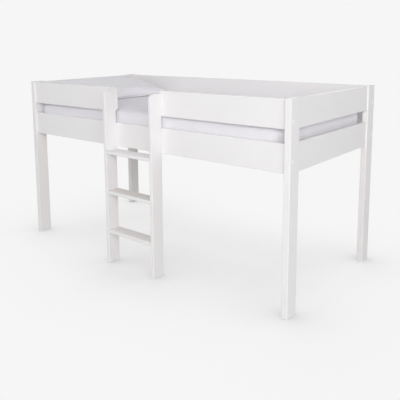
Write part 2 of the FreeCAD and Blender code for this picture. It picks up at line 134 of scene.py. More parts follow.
class StageSettings(bpy.types.PropertyGroup):
    """Camera, light, floor and backdrop."""

    backdrop: FloatVectorProperty(
        name="Backdrop", description="Colour of the floor and backdrop",
        default=(0.922, 0.922, 0.922), **COLOUR,
    )
    shadow: FloatProperty(
        name="Shadow", description="How dark the floor goes where the bed covers it", default=0.58, **SHARE
    )
    bounce: FloatVectorProperty(
        name="Floor", description="Colour of the floor as it lights the bed from below",
        default=(0.78, 0.78, 0.78), **COLOUR,
    )
    sky: FloatProperty(
        name="Sky", description="Strength of the light from all round", min=0, max=3, default=0.37
    )
    key: FloatProperty(
        name="Key lamp", description="In front of the ladder, to its right", default=212, **POWER
    )
    side: FloatProperty(
        name="Side lamp", description="Off the foot end's front post", default=130, **POWER
    )
    high: FloatProperty(name="High lamp", description="High up, off the head end", default=62, **POWER)
    back: FloatProperty(
        name="Back lamp", description="Low down behind the back panel", default=155, **POWER
    )
    eye: FloatVectorProperty(
        name="Camera", description="Where the camera stands", subtype="XYZ", unit="LENGTH",
        default=(2.1885, -2.6190, 1.3140),
    )
    yaw: FloatProperty(
        name="Yaw", description="Camera's turn to the left, from facing the back panel", unit="ROTATION",
        default=0.7074,
    )
    pitch: FloatProperty(name="Pitch", description="Camera's tilt down", unit="ROTATION", default=0.1519)
    roll: FloatProperty(
        name="Roll", description="Camera's turn about its own axis", unit="ROTATION", default=-0.0103
    )
    focal: FloatProperty(
        name="Focal length", description="In pixels of the picture", subtype="PIXEL", default=545.65
    )
    middle_x: FloatProperty(
        name="Middle across", description="Where the camera's axis meets the picture, from the left",
        subtype="PIXEL", default=180,
    )
    middle_y: FloatProperty(
        name="Middle down", description="Where the camera's axis meets the picture, from the top",
        subtype="PIXEL", default=125,
    )


class BedSettings(bpy.types.PropertyGroup):
    """Everything that the panel shows."""

    paint: PointerProperty(name="Paint", description="White paint", type=PaintSettings)
    pine: PointerProperty(name="Pine", description="Bare wood", type=PineSettings)
    bedding: PointerProperty(name="Bedding", description="Mattress and pillow", type=BeddingSettings)
    stage: PointerProperty(name="Stage", description="Camera, light and floor", type=StageSettings)


def settings():
    return bpy.context.scene.mid_sleeper


# Node trees, written as expressions

class Value:
    """A socket of a node tree. Arithmetic on it adds Math nodes to that tree."""

    def __init__(self, nodes, socket):
        self.nodes = nodes
        self.socket = socket

    def math(self, operation, *terms):
        made = self.nodes.add("ShaderNodeMath", {"operation": operation}, dict(enumerate(terms)))
        return made["Value"]

    def __add__(self, other):
        return self.math("ADD", self, other)

    def __radd__(self, other):
        return self.math("ADD", other, self)

    def __sub__(self, other):
        return self.math("SUBTRACT", self, other)

    def __rsub__(self, other):
        return self.math("SUBTRACT", other, self)

    def __mul__(self, other):
        return self.math("MULTIPLY", self, other)

    def __pow__(self, other):
        return self.math("POWER", self, other)

    def sine(self):
        return self.math("SINE", self)

    def step(self, low, high):
        """0 below low, 1 above high and smooth between them."""
        made = self.nodes.add(
            "ShaderNodeMapRange",
            {"interpolation_type": "SMOOTHSTEP"},
            {"Value": self, "From Min": low, "From Max": high},
        )
        return made["Result"]


class Outputs:
    """The output sockets of a node, by name or number."""

    def __init__(self, nodes, node):
        self.nodes = nodes
        self.node = node

    def __getitem__(self, key):
        return Value(self.nodes, self.node.outputs[key])


class Nodes:
    """A node tree, emptied and filled again."""

    def __init__(self, tree):
        self.tree = tree
        tree.nodes.clear()

    def add(self, kind, options=(), inputs=()):
        """One node: its options are set first, then the values or links of its sockets."""
        node = self.tree.nodes.new(kind)
        for key, value in dict(options).items():
            setattr(node, key, value)
        for key, value in dict(inputs).items():
            if isinstance(value, Value):
                self.tree.links.new(value.socket, node.inputs[key])
            else:
                node.inputs[key].default_value = value
        return Outputs(self, node)

    def seen(self):
        """1 for rays that see the backdrop: from the camera, in gloss or through glass."""
        path = self.add("ShaderNodeLightPath")
        total = path["Is Camera Ray"] + path["Is Glossy Ray"] + path["Is Transmission Ray"]
        return total.step(0, 1)


class Finish(Nodes):
    """A material, and the places its patterns start from: in metres, and in shares of the object's box."""

    def __init__(self, name):
        self.material = bpy.data.materials.new(name)
        self.material.use_nodes = True
        super().__init__(self.material.node_tree)
        places = self.add("ShaderNodeTexCoord")
        self.place, self.within = places["Object"], places["Generated"]

    def vector(self, operation, first, second, output="Vector"):
        return self.add("ShaderNodeVectorMath", {"operation": operation}, {0: first, 1: second})[output]

    def noise(self, place, scale, detail=2.0):
        return self.add("ShaderNodeTexNoise", {}, {"Vector": place, "Scale": scale, "Detail": detail})["Fac"]

    def stretched_noise(self, place, per_metre, detail=2.0):
        """Noise with its own number of repeats along X, Y and Z."""
        return self.noise(self.vector("MULTIPLY", place, per_metre), 1.0, detail)

    def blend(self, share, first, second):
        """Colour between two colours."""
        return self.add("ShaderNodeMix", {"data_type": "RGBA"}, {0: share, 6: first, 7: second})[2]

    def cover(self, pattern, band, share, under, over):
        """Lays a share of a colour over another one, where a pattern rises through a band."""
        return self.blend(pattern.step(*band) * share, under, over)

    def parts(self, vector):
        """X, Y and Z of a vector, by name or number."""
        return self.add("ShaderNodeSeparateXYZ", {}, {"Vector": vector})

    def relief(self, height, distance, **inputs):
        """Normal of a surface with that relief; distance is the height of a step from 0 to 1."""
        return self.add("ShaderNodeBump", {}, {"Height": height, "Distance": distance, **inputs})["Normal"]

    def close(self, inputs):
        """Adds a Principled shader with these inputs, and gives the finished material."""
        shader = self.add("ShaderNodeBsdfPrincipled", {}, inputs)["BSDF"]
        self.add("ShaderNodeOutputMaterial", {}, {"Surface": shader})
        return self.material


def rgba(colour, level=1.0):
    """Colour for a socket, darker or paler by a level."""
    return (*(min(1.0, part * level) for part in colour), 1.0)


def wear_finish(material, node):
    """Gives a solid of the frame its material."""
    materials = NODES[node].data.materials
    materials.clear()
    materials.append(material)


def pace(length):
    """Radians per metre of waves of that length."""
    return 2 * math.pi / length


# Finishes: scales are repeats per metre, reliefs are metres

EDGE_RADIUS = 0.0025  # over which the light turns round a painted edge
EDGE_SAMPLES = 6
PAINT_DRIFT = 2.3  # slow changes of shade
PAINT_SCUFFS = 38
PAINT_SHADES = (0.975, 1.02)  # darkest and palest part of the coat, of its colour
GRAIN_BAND = (0.55, 0.85)  # of the grain, from hidden to shown
GRAIN_SHOWN = 0.12  # how much of the grain shows through
RUBBED_BAND = (0.03, 0.3)  # of the scuffs along an edge, from sound paint to rubbed
STIPPLE_ROUGHNESS = 0.14  # added by the roller's marks
WORN_ROUGHNESS = -0.1  # added where hands have rubbed
PAINT_MEAN = -0.05  # keeps the mean roughness near the one in the settings
PAINT_RELIEF = 0.00022
GRAIN_RELIEF = 0.5  # shares of that relief
STIPPLE_RELIEF = 0.35
PAINT_SPECULAR = 0.4


def satin_paint(name, grain_repeats):
    """White satin paint, rolled on, with a hint of the grain under it and a little wear along the edges."""
    look = settings().paint
    finish = Finish(name)
    grain = finish.stretched_noise(finish.place, grain_repeats, detail=4)
    stipple = finish.noise(finish.place, 1 / look.stipple, detail=1)
    drift = finish.noise(finish.place, PAINT_DRIFT)
    scuffs = finish.noise(finish.place, PAINT_SCUFFS, detail=4)
    eased = finish.add("ShaderNodeBevel", {"samples": EDGE_SAMPLES}, {"Radius": EDGE_RADIUS})["Normal"]
    facing = finish.add("ShaderNodeNewGeometry")["Normal"]
    edge = 1 - finish.vector("DOT_PRODUCT", eased, facing, "Value")
    rubbed = (edge * scuffs).step(*RUBBED_BAND) * look.wear
    even = finish.blend(drift, *(rgba(look.colour, shade) for shade in PAINT_SHADES))
    grained = finish.cover(grain, GRAIN_BAND, GRAIN_SHOWN, even, rgba(look.rubbed))
    roughness = look.roughness + PAINT_MEAN + stipple * STIPPLE_ROUGHNESS
    return finish.close({
        "Base Color": finish.blend(rubbed, grained, rgba(look.rubbed)),
        "Roughness": roughness + rubbed * WORN_ROUGHNESS,
        "Normal": finish.relief(
            grain * GRAIN_RELIEF + stipple * STIPPLE_RELIEF, PAINT_RELIEF, Normal=eased
        ),
        "Specular IOR Level": PAINT_SPECULAR,
    })


PINE_WIDTH = 0.07  # of a board, in the log that it was cut from
HEART_SHARE = (0.3, 0.4)  # where the log's heart lies across a board: at least, and how far chance moves it
HEART_HEIGHT = 0.70  # of the log's heart above the floor
RING_STRETCH = 0.35  # 1 has round rings, less has taller ones
RING_BEND = 0.02  # how far the rings wander
BENDS_ALONG = 2.1
BENDS_ACROSS = 30
BOARD_SHIFTS = (50, 9)  # how far chance moves a board through the noise, along it and through it
KNOTS_ALONG = 2.6
KNOTS_ACROSS = 14
KNOT_SHIFT = 31  # how far chance moves a board through the knots
KNOT_BAND = (0.05, 0.11)  # from a knot's dark middle to its rim
KNOTS_SHOWN = 0.85
KNOT_COLOUR = (0.2, 0.09, 0.03)
LATE_BAND = (0.35, 1.0)  # of a ring, from early wood to late
LATE_SHOWN = 0.8
FIBRES_ALONG = 9
FIBRES_ACROSS = 700
FIBRE_BAND = (0.35, 0.8)  # of the fibres, from pale to dark
FIBRES_SHOWN = 0.35
PINE_ROUGHNESS = 0.62
FIBRE_ROUGHNESS = 0.16  # added by fibres
LATE_SMOOTHNESS = 0.08  # taken off by late wood
PINE_RELIEF = 0.0003
FIBRE_RELIEF = 0.7  # shares of that relief
LATE_SINK = 0.4


def bare_pine(name, across):
    """Pine with year rings, fibres and knots; the board's width runs along axis number across."""
    look = settings().pine
    finish = Finish(name)
    chance = finish.add("ShaderNodeObjectInfo")["Random"]
    parts = finish.parts(finish.place)
    along = parts[1 - across]
    share = finish.parts(finish.within)[across]
    width = (share - HEART_SHARE[0] - chance * HEART_SHARE[1]) * PINE_WIDTH
    depth = parts["Z"] - HEART_HEIGHT
    wander = finish.add("ShaderNodeCombineXYZ", {}, {
        "X": along * BENDS_ALONG + chance * BOARD_SHIFTS[0],
        "Y": width * BENDS_ACROSS,
        "Z": chance * BOARD_SHIFTS[1],
    })["Vector"]
    bend = finish.noise(wander, 1.0, 3) - 0.5
    reach = (width * width + depth * depth * RING_STRETCH) ** 0.5 + bend * RING_BEND
    ring = (reach * pace(look.ring)).sine() * 0.5 + 0.5
    stretch = [FIBRES_ACROSS] * 3
    stretch[1 - across] = FIBRES_ALONG
    fibre = finish.stretched_noise(finish.place, stretch, 3)
    spread = finish.add("ShaderNodeCombineXYZ", {}, {
        "X": along * KNOTS_ALONG + chance * KNOT_SHIFT, "Y": width * KNOTS_ACROSS,
    })["Vector"]
    cells = finish.add(
        "ShaderNodeTexVoronoi", {"voronoi_dimensions": "2D"}, {"Vector": spread, "Scale": 1.0}
    )
    knot = 1 - cells["Distance"].step(*KNOT_BAND)
    wood = finish.cover(ring, LATE_BAND, LATE_SHOWN, rgba(look.early), rgba(look.late))
    streaked = finish.cover(fibre, FIBRE_BAND, FIBRES_SHOWN, wood, rgba(look.late))
    return finish.close({
        "Base Color": finish.blend(knot * KNOTS_SHOWN, streaked, rgba(KNOT_COLOUR)),
        "Roughness": PINE_ROUGHNESS + fibre * FIBRE_ROUGHNESS - ring * LATE_SMOOTHNESS,
        "Normal": finish.relief(fibre * FIBRE_RELIEF - ring * LATE_SINK, PINE_RELIEF),
    })


BEECH_FLECKS = 900
BEECH_SHADES = 40
BEECH_COLOURS = ((0.62, 0.43, 0.26), (0.72, 0.53, 0.34))  # dark and pale
FLECK_BAND = (0.58, 0.75)  # from plain wood to fleck
FLECKS_SHOWN = 0.6
FLECK_COLOUR = (0.36, 0.2, 0.1)
FLECK_ROUGHNESS = 0.2  # added by flecks
BEECH_ROUGHNESS = 0.6
BEECH_RELIEF = 0.0002


def fluted_beech():
    """Pale dowel wood with short dark flecks."""
    finish = Finish("fluted_beech")
    flecks = finish.noise(finish.place, BEECH_FLECKS, 3)
    shade = finish.noise(finish.place, BEECH_SHADES)
    wood = finish.blend(shade, *map(rgba, BEECH_COLOURS))
    return finish.close({
        "Base Color": finish.cover(flecks, FLECK_BAND, FLECKS_SHOWN, wood, rgba(FLECK_COLOUR)),
        "Roughness": BEECH_ROUGHNESS + flecks * FLECK_ROUGHNESS,
        "Normal": finish.relief(flecks, BEECH_RELIEF),
    })


ZINC_MARKS = (250, 2500, 2500)  # along X, Y and Z
ZINC_BLOTCHES = 180
ZINC_COLOURS = ((0.62, 0.63, 0.66), (0.78, 0.78, 0.77))  # dark and pale
ZINC_ROUGHNESS = 0.24
MARK_ROUGHNESS = 0.16  # added by the drawing marks
BLOTCH_ROUGHNESS = 0.1
ZINC_RELIEF = 0.00006


def zinc_steel():
    """Bright zinc plating with faint drawing marks and blotches."""
    finish = Finish("zinc_steel")
    marks = finish.stretched_noise(finish.place, ZINC_MARKS)
    blotch = finish.noise(finish.place, ZINC_BLOTCHES, 3)
    return finish.close({
        "Base Color": finish.blend(blotch, *map(rgba, ZINC_COLOURS)),
        "Metallic": 1.0,
        "Roughness": ZINC_ROUGHNESS + marks * MARK_ROUGHNESS + blotch * BLOTCH_ROUGHNESS,
        "Normal": finish.relief(marks, ZINC_RELIEF),
    })


CAP_SPARKS = 2600
CAP_COLOURS = ((0.92, 0.92, 0.92), (0.96, 0.96, 0.96))  # dark and pale
CAP_ROUGHNESS = 0.34
SPARK_ROUGHNESS = 0.12  # added by the texture
CAP_RELIEF = 0.00005


def cap_plastic():
    """White moulded plastic with a fine sparked texture."""
    finish = Finish("cap_plastic")
    spark = finish.noise(finish.place, CAP_SPARKS)
    return finish.close({
        "Base Color": finish.blend(spark, *map(rgba, CAP_COLOURS)),
        "Roughness": CAP_ROUGHNESS + spark * SPARK_ROUGHNESS,
        "Normal": finish.relief(spark, CAP_RELIEF),
    })


RIB_LENGTH = 0.0032  # from rib to rib along a tape
YARN_LENGTH = 0.0018  # from yarn to yarn across it
TAPE_COLOURS = ((0.58, 0.54, 0.45), (0.74, 0.71, 0.62))  # dark and pale
GUARD_COLOUR = (0.42, 0.36, 0.28)  # of the two threads near its edges
GUARD_INNER = (0.5, 0.56)  # edges of such a thread; 0 is the tape's middle and 1 its edges
GUARD_OUTER = (0.64, 0.7)
GUARD_SHOWN = 0.6
TAPE_ROUGHNESS = 0.82
WEAVE_ROUGHNESS = 0.1  # added by the weave
TAPE_RELIEF = 0.0005


def woven_webbing():
    """Ecru tape with a ribbed weave across it and two darker guard threads."""
    finish = Finish("woven_webbing")
    parts = finish.parts(finish.place)
    rib = (parts["X"] * pace(RIB_LENGTH)).sine()
    yarn = (parts["Y"] * pace(YARN_LENGTH)).sine()
    weave = rib * yarn * 0.5 + 0.5
    share = finish.parts(finish.within)["Y"] - 0.5
    outward = share * share * 4
    guard = outward.step(*GUARD_INNER) * (1 - outward.step(*GUARD_OUTER))
    tape = finish.blend(weave, *map(rgba, TAPE_COLOURS))
    return finish.close({
        "Base Color": finish.blend(guard * GUARD_SHOWN, tape, rgba(GUARD_COLOUR)),
        "Roughness": TAPE_ROUGHNESS + weave * WEAVE_ROUGHNESS,
        "Normal": finish.relief(weave, TAPE_RELIEF),
    })


WARP_SLUBS = (12, 900, 900)  # along X, Y and Z
WEFT_SLUBS = (900, 12, 900)
SLUB_BAND = (0.35, 0.75)  # from dark to pale
WASH_MARKS = 6
WASH_BAND = (0.3, 0.8)  # from fresh to washed
WASH_SHOWN = 0.3
COTTON_SHADES = (0.965, 1.025)  # darkest and palest slub, of the cloth's colour
WASHED_SHADE = 0.94
COTTON_ROUGHNESS = 0.82
SLUB_ROUGHNESS = 0.12  # added by slubs
COTTON_RELIEF = 0.0003
WEAVE_RELIEF = 0.12  # shares of that relief
SLUB_RELIEF = 0.6
COTTON_SHEEN = 0.18
SHEEN_ROUGHNESS = 0.45


def plain_cotton(name, colour):
    """Plain woven cotton: threads that cross along each pair of axes, and slubs that run with them."""
    finish = Finish(name)
    parts = finish.parts(finish.place)
    turn = pace(settings().bedding.thread)
    wave_x, wave_y, wave_z = ((parts[axis] * turn).sine() for axis in "XYZ")
    weave = wave_x * wave_y + wave_y * wave_z + wave_x * wave_z
    warp = finish.stretched_noise(finish.place, WARP_SLUBS)
    weft = finish.stretched_noise(finish.place, WEFT_SLUBS)
    slub = (warp + weft) * 0.5
    wash = finish.noise(finish.place, WASH_MARKS, 3)
    cloth = finish.blend(slub.step(*SLUB_BAND), *(rgba(colour, shade) for shade in COTTON_SHADES))
    return finish.close({
        "Base Color": finish.cover(wash, WASH_BAND, WASH_SHOWN, cloth, rgba(colour, WASHED_SHADE)),
        "Roughness": COTTON_ROUGHNESS + slub * SLUB_ROUGHNESS,
        "Normal": finish.relief(weave * WEAVE_RELIEF + slub * SLUB_RELIEF, COTTON_RELIEF),
        "Sheen Weight": COTTON_SHEEN,
        "Sheen Roughness": SHEEN_ROUGHNESS,
    })


# Solids of the frame that keep their shape

UPRIGHT_GRAIN = (55, 55, 3.2)  # repeats per metre along X, Y and Z
LENGTHWISE_GRAIN = (3.2, 55, 55)
CROSSWISE_GRAIN = (55, 3.2, 55)


def names_with(*starts):
    """Nodes of the frame whose names start in one of these ways."""
    return sorted(name for name in NODES if name.startswith(starts))


class MIDSLEEPER_OT_paint_boards(bpy.types.Operator):
    """Paint the posts, boards and ladder"""

    bl_idname = "midsleeper.paint_boards"
    bl_label = "Paint the boards"

    def execute(self, context):
        coats = [
            ("paint_upright", UPRIGHT_GRAIN, names_with("post_", "ladder_stile")),
            ("paint_lengthwise", LENGTHWISE_GRAIN, names_with("front_", "guard_", "back_", "ladder_tread")),
            ("paint_crosswise", CROSSWISE_GRAIN, names_with("head_", "foot_")),
        ]
        for name, grain, boards in coats:
            coat = satin_paint(name, grain)
            for board in boards:
                wear_finish(coat, board)
        return {"FINISHED"}


class MIDSLEEPER_OT_finish_base(bpy.types.Operator):
    """Give the slats, battens, tapes and dowels their wood and webbing"""

    bl_idname = "midsleeper.finish_base"
    bl_label = "Finish the slatted base"

    def execute(self, context):
        dowels = [name for name in NODES if name.endswith("_dowels")]
        for material, nodes in (
            (bare_pine("pine_slats", 0), names_with("slat_0", "slat_1")),
            (bare_pine("pine_battens", 1), names_with("side_batten")),
            (woven_webbing(), names_with("slat_tape")),
            (fluted_beech(), dowels),
        ):
            for node in nodes:
                wear_finish(material, node)
        return {"FINISHED"}


# Fasteners, turned about an axis

SIDES = 36  # points round a turned piece
SHARP_EDGE = math.radians(35)  # edges that turn more than this stay sharp
POST_FACE_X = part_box("post_front_right")[1].x  # outer face of the posts at the foot end
BED_MIDDLE_Y = (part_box("front_lower_rail")[0].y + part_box("back_panel")[1].y) / 2


def hexagon_outline(across_flats):
    """Six flats, for an Allen key. An outline gives a radius for each angle."""
    half_flat = math.pi / 6
    return lambda turn: across_flats / 2 / math.cos((turn + half_flat) % (2 * half_flat) - half_flat)


def slot_outline(width, length):
    """Straight slot, for a flat screwdriver."""
    return lambda turn: min(length / 2, width / 2 / max(abs(math.sin(turn)), SMALL))


def cross_outline(width, length):
    """Two slots that cross, for a cross-head screwdriver."""
    slot = slot_outline(width, length)
    return lambda turn: max(slot(turn), slot(turn + math.pi / 2))


def turn_piece(mesh, seat, axis, rings):
    """Adds a closed piece turned about a level axis; rings are (distance along it, radius or outline)."""
    up = Vector((0, 0, 1))
    side = axis.cross(up)
    loops = []
    for distance, outline in rings:
        loop = []
        for i in range(SIDES):
            turn = 2 * math.pi * i / SIDES
            reach = outline(turn) if callable(outline) else outline
            spoke = (side * math.cos(turn) + up * math.sin(turn)) * reach
            loop.append(mesh.verts.new(seat + axis * distance + spoke))
        loops.append(loop)
    for near, far in zip(loops, loops[1:]):
        for i in range(SIDES):
            j = (i + 1) % SIDES
            mesh.faces.new((near[i], near[j], far[j], far[i]))
    mesh.faces.new(loops[0][::-1])
    mesh.faces.new(loops[-1])


def separate_solids(node):
    """Lowest and highest corner of each separate solid in a node of the frame."""
    mesh = bmesh.new()
    mesh.from_mesh(NODES[node].data)
    bmesh.ops.remove_doubles(mesh, verts=mesh.verts, dist=SMALL)
    waiting = set(mesh.verts)
    boxes = []
    while waiting:
        group, to_visit = [], [waiting.pop()]
        while to_visit:
            vert = to_visit.pop()
            group.append(vert.co)
            for edge in vert.link_edges:
                other = edge.other_vert(vert)
                if other in waiting:
                    waiting.discard(other)
                    to_visit.append(other)
        spots = np.array(group)
        boxes.append((Vector(spots.min(0)), Vector(spots.max(0))))
    mesh.free()
    return sorted(boxes, key=lambda box: tuple(round(part, 5) for part in box[0]))


def crosswise_solids(node):
    """Middle, length and radius of each solid in a node whose solids lie along Y."""
    for low, high in separate_solids(node):
        yield (low + high) / 2, high.y - low.y, (high.z - low.z) / 2


def add_to_scene(name, data):
    """New object of the scene that shows a mesh, curve, camera or lamp."""
    made = bpy.data.objects.new(name, data)
    bpy.context.scene.collection.objects.link(made)
    return made


def add_object(name, mesh):
    """Turns a bmesh into an object of the scene, with outward faces."""
    bmesh.ops.recalc_face_normals(mesh, faces=mesh.faces)
    data = bpy.data.meshes.new(name)
    mesh.to_mesh(data)
    mesh.free()
    return add_to_scene(name, data)


def shade_by_angle(piece):
    """Smooth shading, apart from sharp edges."""
    piece.data.shade_smooth()
    mesh = bmesh.new()
    mesh.from_mesh(piece.data)
    for edge in mesh.edges:
        edge.smooth = len(edge.link_faces) == 2 and edge.calc_face_angle(0) < SHARP_EDGE
    mesh.to_mesh(piece.data)
    mesh.free()


def stand_for(piece, node, body, material):
    """Puts a finished piece in a node's place."""
    piece.data.materials.clear()
    piece.data.materials.append(material)
    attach(piece, body)
    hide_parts(node)


CAP_STEM_LENGTH = 0.0035
CAP_STEM = 0.78  # shares of the cap's radius
CAP_SHOULDER = 0.965
CAP_DOME_RINGS = (0.86, 0.7, 0.5, 0.28, 0.08)
CAP_RIM = 0.34  # shares of the cap's rise
CAP_SHOULDER_RISE = 0.46
CAP_DOME_START = 0.42


def cover_caps():
    """Low domed caps with a fine rim, each on a short stem."""
    mesh = bmesh.new()
    for low, high in separate_solids("cover_caps"):
        outward = 1 if low.x > 0 else -1
        middle = (low + high) / 2
        radius = (high.y - low.y) / 2
        rise = (high.x if outward > 0 else -low.x) - POST_FACE_X
        rings = [
            (-CAP_STEM_LENGTH, radius * CAP_STEM),
            (0, radius * CAP_STEM),
            (0, radius),
            (rise * CAP_RIM, radius),
            (rise * CAP_SHOULDER_RISE, radius * CAP_SHOULDER),
        ]
        for share in CAP_DOME_RINGS:
            lift = CAP_DOME_START + (1 - CAP_DOME_START) * math.sqrt(1 - share ** 2)
            rings.append((rise * lift, radius * share))
        seat = Vector((POST_FACE_X * outward, middle.y, middle.z))
        turn_piece(mesh, seat, Vector((outward, 0, 0)), rings)
    return add_object("bolt_cover_caps", mesh)


NUT_SLOT_WIDTH = 0.0016
NUT_SLOT_LENGTH = 1.5  # of the nut's radius
NUT_SLOT_FLOOR = 0.85  # shares of the nut's length
NUT_CHAMFER = 0.05
NUT_END = 0.9  # of the nut's radius


def barrel_nuts():
    """Cross dowels with a screwdriver slot in the end that shows."""
    mesh = bmesh.new()
    for middle, length, radius in crosswise_solids("barrel_nuts"):
        inward = Vector((0, 1 if middle.y < BED_MIDDLE_Y else -1, 0))
        slot = slot_outline(NUT_SLOT_WIDTH, radius * NUT_SLOT_LENGTH)
        turn_piece(mesh, middle - inward * (length / 2), inward, [
            (0, radius * NUT_END),
            (length * NUT_CHAMFER, radius),
            (length * (1 - NUT_CHAMFER), radius),
            (length, radius * NUT_END),
            (length, slot),
            (length * NUT_SLOT_FLOOR, slot),
        ])
    return add_object("cross_dowel_nuts", mesh)


BOLT_SHANK = 0.003  # radius
BOLT_TIP = 0.0022
BOLT_TIP_LENGTH = 0.0012
BOLT_HEAD_HEIGHT = 0.0026
BOLT_RIM_DEPTH = 0.0010  # below the top of the head, where its edge starts to round
BOLT_ROUND_DEPTH = 0.0002
BOLT_ROUND = 0.9  # shares of the head's radius
BOLT_FLAT = 0.78
BOLT_SOCKET = 0.004  # across flats
BOLT_SOCKET_DEPTH = 0.0022


def ladder_bolts():
    """Flat-headed furniture bolts with an Allen socket, set from inside the bed."""
    mesh = bmesh.new()
    inward = Vector((0, 1, 0))
    for middle, length, radius in crosswise_solids("ladder_bolts"):
        turn_piece(mesh, middle - inward * (length / 2), inward, [
            (0, BOLT_TIP),
            (BOLT_TIP_LENGTH, BOLT_SHANK),
            (length - BOLT_HEAD_HEIGHT, BOLT_SHANK),
            (length - BOLT_HEAD_HEIGHT, radius),
            (length - BOLT_RIM_DEPTH, radius),
            (length - BOLT_ROUND_DEPTH, radius * BOLT_ROUND),
            (length, radius * BOLT_FLAT),
            (length, hexagon_outline(BOLT_SOCKET)),
            (length - BOLT_SOCKET_DEPTH, hexagon_outline(BOLT_SOCKET)),
        ])
    return add_object("ladder_allen_bolts", mesh)


SCREW_SHANK = 0.002  # radius
SCREW_TIP = 0.0004
SCREW_TIP_LENGTH = 0.005
SCREW_HEAD_HEIGHT = 0.0026
SCREW_EDGE = 0.0003  # height of the edge round the head
SCREW_FLAT = 0.94  # of the head's radius
CROSS_TOP = (0.0016, 0.0046)  # width and length of each slot
CROSS_FLOOR = (0.0012, 0.0030)
CROSS_DEPTH = 0.0020


def batten_screws():
    """Countersunk cross-head screws."""
    mesh = bmesh.new()
    for middle, length, radius in crosswise_solids("batten_screws"):
        outward = Vector((0, -1 if middle.y < BED_MIDDLE_Y else 1, 0))
        turn_piece(mesh, middle - outward * (length / 2), outward, [
            (CROSS_DEPTH, cross_outline(*CROSS_FLOOR)),
            (0, cross_outline(*CROSS_TOP)),
            (0, radius * SCREW_FLAT),
            (SCREW_EDGE, radius),
            (SCREW_HEAD_HEIGHT, SCREW_SHANK),
            (length - SCREW_TIP_LENGTH, SCREW_SHANK),
            (length, SCREW_TIP),
        ])
    return add_object("batten_cross_screws", mesh)


class MIDSLEEPER_OT_make_fasteners(bpy.types.Operator):
    """Make the fasteners that show, and plate the hidden ones"""

    bl_idname = "midsleeper.make_fasteners"
    bl_label = "Make the fasteners"

    def execute(self, context):
        steel, plastic = zinc_steel(), cap_plastic()
        for made, node, slot, material in (
            (cover_caps(), "cover_caps", "cap_plastic", plastic),
            (barrel_nuts(), "barrel_nuts", "zinc_steel", steel),
            (ladder_bolts(), "ladder_bolts", "zinc_steel", steel),
            (batten_screws(), "batten_screws", "zinc_steel", steel),
        ):
            shade_by_angle(made)
            stand_for(made, node, "frame", material)
        for node in ("rail_bolts", "insert_nuts", "slat_screws"):
            wear_finish(steel, node)
        return {"FINISHED"}


# Bedding

def settle(piece):
    """Applies a piece's modifiers to its mesh."""
    shown = piece.evaluated_get(bpy.context.evaluated_depsgraph_get())
    mesh = bpy.data.meshes.new_from_object(shown)
    piece.modifiers.clear()
    piece.data = mesh


def spots_of(piece, kind="co"):
    """Places of a piece's points, or their normals."""
    flat = np.zeros(len(piece.data.vertices) * 3, np.float32)
    piece.data.vertices.foreach_get(kind, flat)
    return flat.reshape(-1, 3).astype(float)


def move_to(piece, spots):
    """Moves a piece's points to new places."""
    piece.data.vertices.foreach_set("co", spots.astype(np.float32).ravel())
    piece.data.update()


def run_cloth(piece, frames, **options):
    """Runs a cloth simulation without gravity and applies it."""
    cloth = piece.modifiers.new("cloth", "CLOTH")
    for key, value in options.items():
        setattr(cloth.settings, key, value)
    cloth.settings.effector_weights.gravity = 0
    cloth.point_cache.frame_start = 1
    cloth.point_cache.frame_end = frames
    for number in range(1, frames + 1):
        bpy.context.scene.frame_set(number)
    settle(piece)
    bpy.context.scene.frame_set(1)


def soft_ramp(values, low, high):
    """0 below low, 1 above high and smooth between them, for arrays."""
    share = np.clip((values - low) / (high - low), 0, 1)
    return share * share * (3 - 2 * share)


MATTRESS_CELL = 0.011  # size of the faces of the sheet
SHEET_FRAMES = 14  # steps of its simulation
SHEET_CAP = 0.003  # how far the simulation may move it
HEAD_CORNER = 0.07  # radius of the upright corners that the head boards square up
FOOT_CORNER = 0.105  # and of those that the elastic of the sheet pulls in
EDGE_ROLL = 0.055  # radius along the top edges


def round_corners(spots, low, high):
    """Pulls the upright corners and the top edges in to their radii."""
    middle = (low + high)[:2] / 2
    half = (high - low)[:2] / 2
    offset = spots[:, :2] - middle
    radius = np.where(offset[:, :1] < 0, HEAD_CORNER, FOOT_CORNER)
    beyond = np.maximum(np.abs(offset) - (half - radius), 0)
    corner = (beyond > 0).all(1, keepdims=True)
    reach = np.maximum(np.linalg.norm(beyond, axis=1, keepdims=True), SMALL)
    inside = half - np.abs(offset)
    depth = np.where(corner, radius - np.minimum(reach, radius), inside.min(1, keepdims=True))
    nearest = inside == inside.min(1, keepdims=True)
    outward = np.where(corner, beyond / reach, nearest) * np.sign(offset)
    over = np.maximum(EDGE_ROLL - depth, 0)
    rise = np.maximum(EDGE_ROLL - (high[2] - spots[:, 2:]), 0)
    pull = np.minimum(1, EDGE_ROLL / np.maximum(np.hypot(over, rise), SMALL))
    made = spots.copy()
    made[:, :2] += outward * (np.where(corner, np.minimum(radius - reach, 0), 0) - over * (1 - pull))
    made[:, 2:] -= rise * (1 - pull)
    return made


FAN_MIDDLE = 0.13  # from a corner to the deepest part of its drag folds
FAN_WIDTH = 0.16  # over which they fade out on either side
FAN_FOLDS = 17  # radians of wave for each radian round a corner
FAN_WANDER = (1.3, 21)  # radians that a fold bends by, and radians per metre of that
FAN_STARTS = (5, 3)  # radians per metre that set the corners apart
FAN_DEPTH = 0.7  # of the depth of folds in the settings
TOP_BAND = (0.045, 0.004)  # below the top, where its folds start and are full


